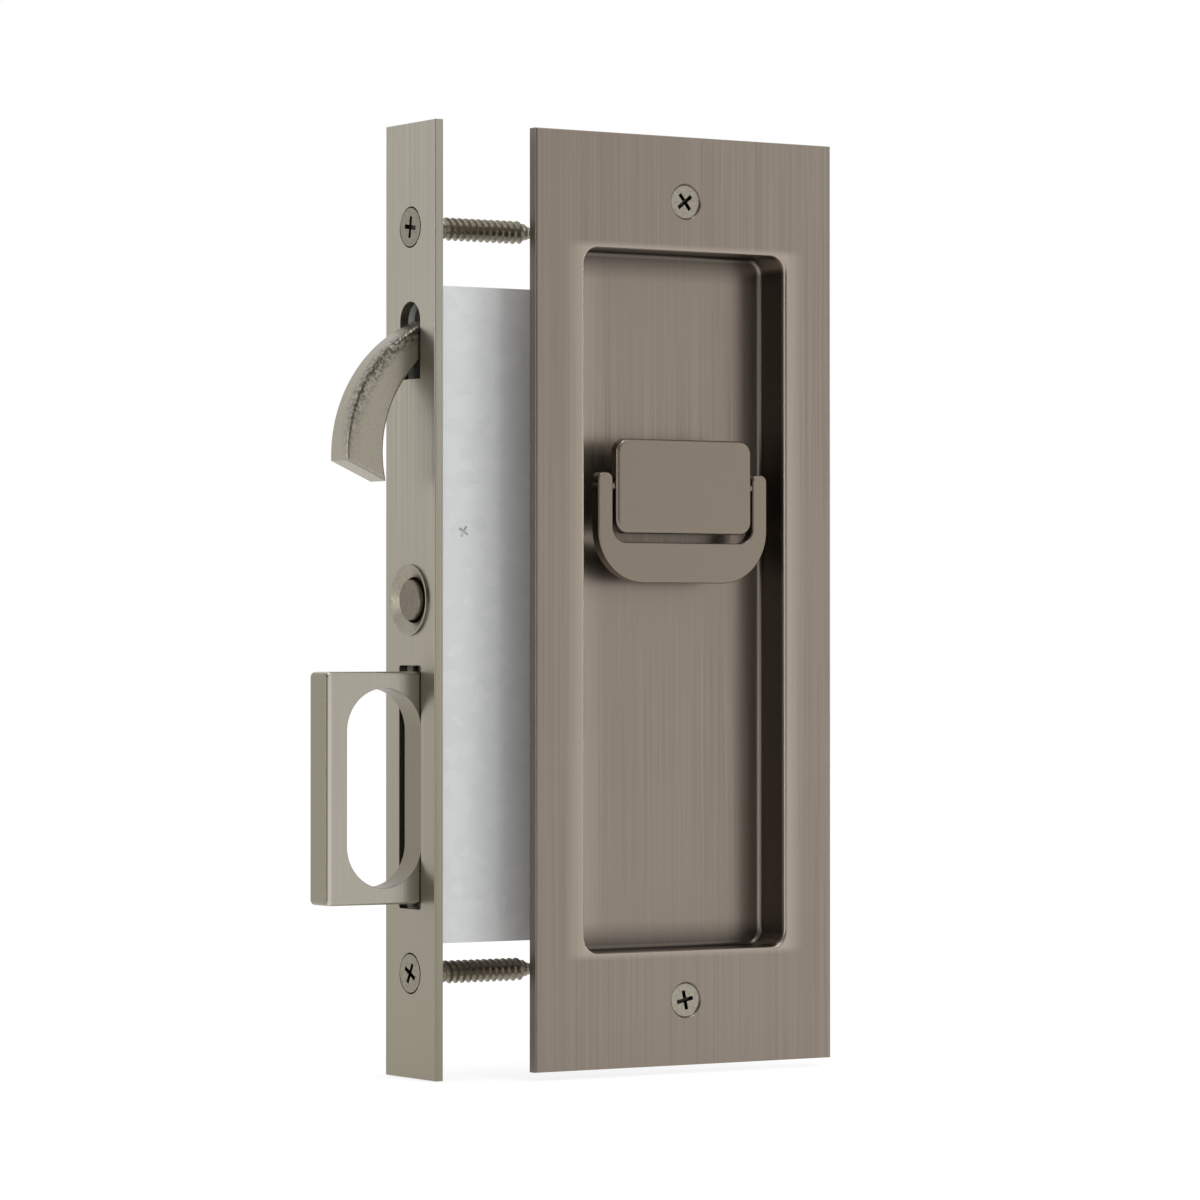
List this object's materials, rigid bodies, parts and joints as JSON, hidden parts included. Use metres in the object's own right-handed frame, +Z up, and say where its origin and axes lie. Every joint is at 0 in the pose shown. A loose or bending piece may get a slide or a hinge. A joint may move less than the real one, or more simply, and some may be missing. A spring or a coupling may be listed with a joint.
{
  "type": "pocket door lockset",
  "caption": "Pocket door lock: edge faceplate with hook bolt, push button and pop-out edge pull on a mortise case, and a rectangular flush pull with a folding turn.",
  "frame": {"origin": "centre of the faceplate's outer face", "axes": "+X into the door from its edge, +Y across the door away from the flush pull, +Z up"},
  "size_m": [0.1183, 0.0303, 0.2032],
  "materials": {
    "satin_nickel": "satin nickel plate on brass, brushed along the length",
    "pewter": "dark pewter plate on brass, fine vertical brushing",
    "pewter_smooth": "dark pewter plate on brass, smooth satin",
    "screw_nickel": "nickel plated steel",
    "zinc_steel": "bright zinc plated steel",
    "guide_brass": "plain brass",
    "spring_steel": "spring wire"
  },
  "bodies": {
    "lock_frame": {"faceplate": "satin_nickel", "faceplate_screws": "screw_nickel", "case": "zinc_steel", "case_cover": "zinc_steel", "cover_posts": "zinc_steel", "cover_screws": "zinc_steel", "hook_pivot_pin": "zinc_steel", "upper_guide": "guide_brass", "lower_guide": "guide_brass", "spring_anchor": "zinc_steel", "pull_spring": "spring_steel", "button_bushing": "satin_nickel", "button_spring": "spring_steel", "catch_pin": "zinc_steel", "flush_pull": "pewter", "plate_screws": "screw_nickel"},
    "turn": {"hub_follower": "zinc_steel", "spindle": "zinc_steel", "hub_link_pin": "zinc_steel", "turn_knob": "pewter_smooth", "knob_ring": "zinc_steel", "bail_pin": "pewter_smooth"},
    "bail": {"bail": "pewter_smooth"},
    "hook": {"hook_bolt": "satin_nickel", "hook_link_pin": "zinc_steel"},
    "link": {"link": "zinc_steel"},
    "edge_pull": {"edge_pull": "satin_nickel"},
    "button": {"button": "satin_nickel", "button_clip": "zinc_steel"},
    "catch": {"catch_lever": "zinc_steel"}
  },
  "joints": [
    {"name": "hub_turn", "type": "hinge", "parent": "lock_frame", "child": "turn", "pos_m": [0.0572, 0, 0.0245], "axis": [0, 1, 0], "range_deg": [0, 70]},
    {"name": "bail_flip", "type": "hinge", "parent": "turn", "child": "bail", "pos_m": [0.0572, -0.0178, 0.0245], "axis": [-1, 0, 0], "range_deg": [0, 90]},
    {"name": "hook_swing", "type": "hinge", "parent": "lock_frame", "child": "hook", "pos_m": [0.0135, 0, 0.0304], "axis": [0, 1, 0], "range_deg": [0, 70]},
    {"name": "link_swing", "type": "hinge", "parent": "turn", "child": "link", "pos_m": [0.05169, 0, 0.03516], "axis": [0, 1, 0], "range_deg": [-70, 0]},
    {"name": "pull_slide", "type": "slide", "parent": "lock_frame", "child": "edge_pull", "axis": [1, 0, 0], "range_m": [0, 0.0227], "stiffness_N_per_m": 100, "springref_m": -0.02, "deforming": ["pull_spring"]},
    {"name": "button_press", "type": "slide", "parent": "lock_frame", "child": "button", "axis": [1, 0, 0], "range_m": [0, 0.002], "stiffness_N_per_m": 400, "springref_m": -0.002, "deforming": ["button_spring"]},
    {"name": "catch_swing", "type": "hinge", "parent": "lock_frame", "child": "catch", "pos_m": [0.021, 0, 0.005], "axis": [0, -1, 0], "range_deg": [0, 22.97]}
  ],
  "couplings": [
    {"joint": "hook_swing", "follows": "hub_turn", "ratio": 1},
    {"joint": "link_swing", "follows": "hub_turn", "ratio": -1},
    {"joint": "catch_swing", "follows": "button_press", "rad_per_m": 200}
  ]
}
